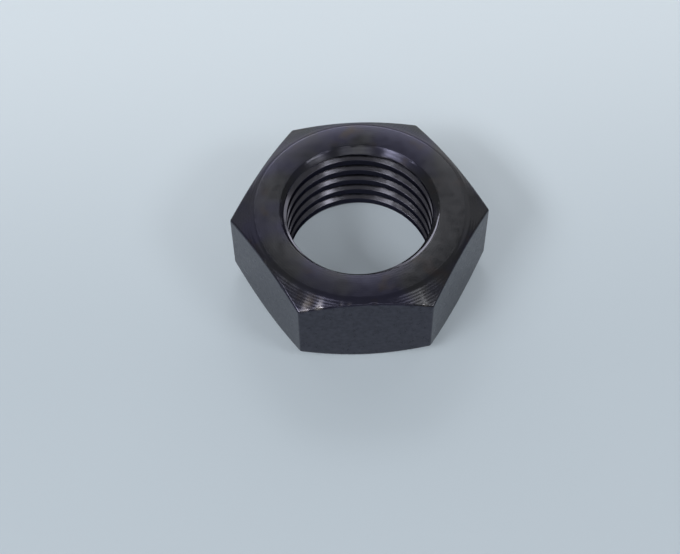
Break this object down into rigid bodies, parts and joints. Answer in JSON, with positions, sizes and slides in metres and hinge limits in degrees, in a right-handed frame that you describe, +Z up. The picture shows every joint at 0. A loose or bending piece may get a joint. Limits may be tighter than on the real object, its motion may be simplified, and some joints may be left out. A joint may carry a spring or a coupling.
{
  "type": "hexagon nut",
  "caption": "Plain hexagon nut with coned corners on both faces and a countersunk fine-thread bore, which holds a clutch hub on its shaft.",
  "frame": {"origin": "middle of the lower face, where the nut seats on the hub", "axes": "+Z up along the thread's axis; +X through a corner of the hexagon, so one flat faces -Y"},
  "size_m": [0.0196, 0.017, 0.0075],
  "materials": {
    "nut_steel": "black oxide, satin, with bare metal at a few worn edges"
  },
  "bodies": {
    "root": {"hub_nut": "nut_steel"}
  },
  "joints": []
}
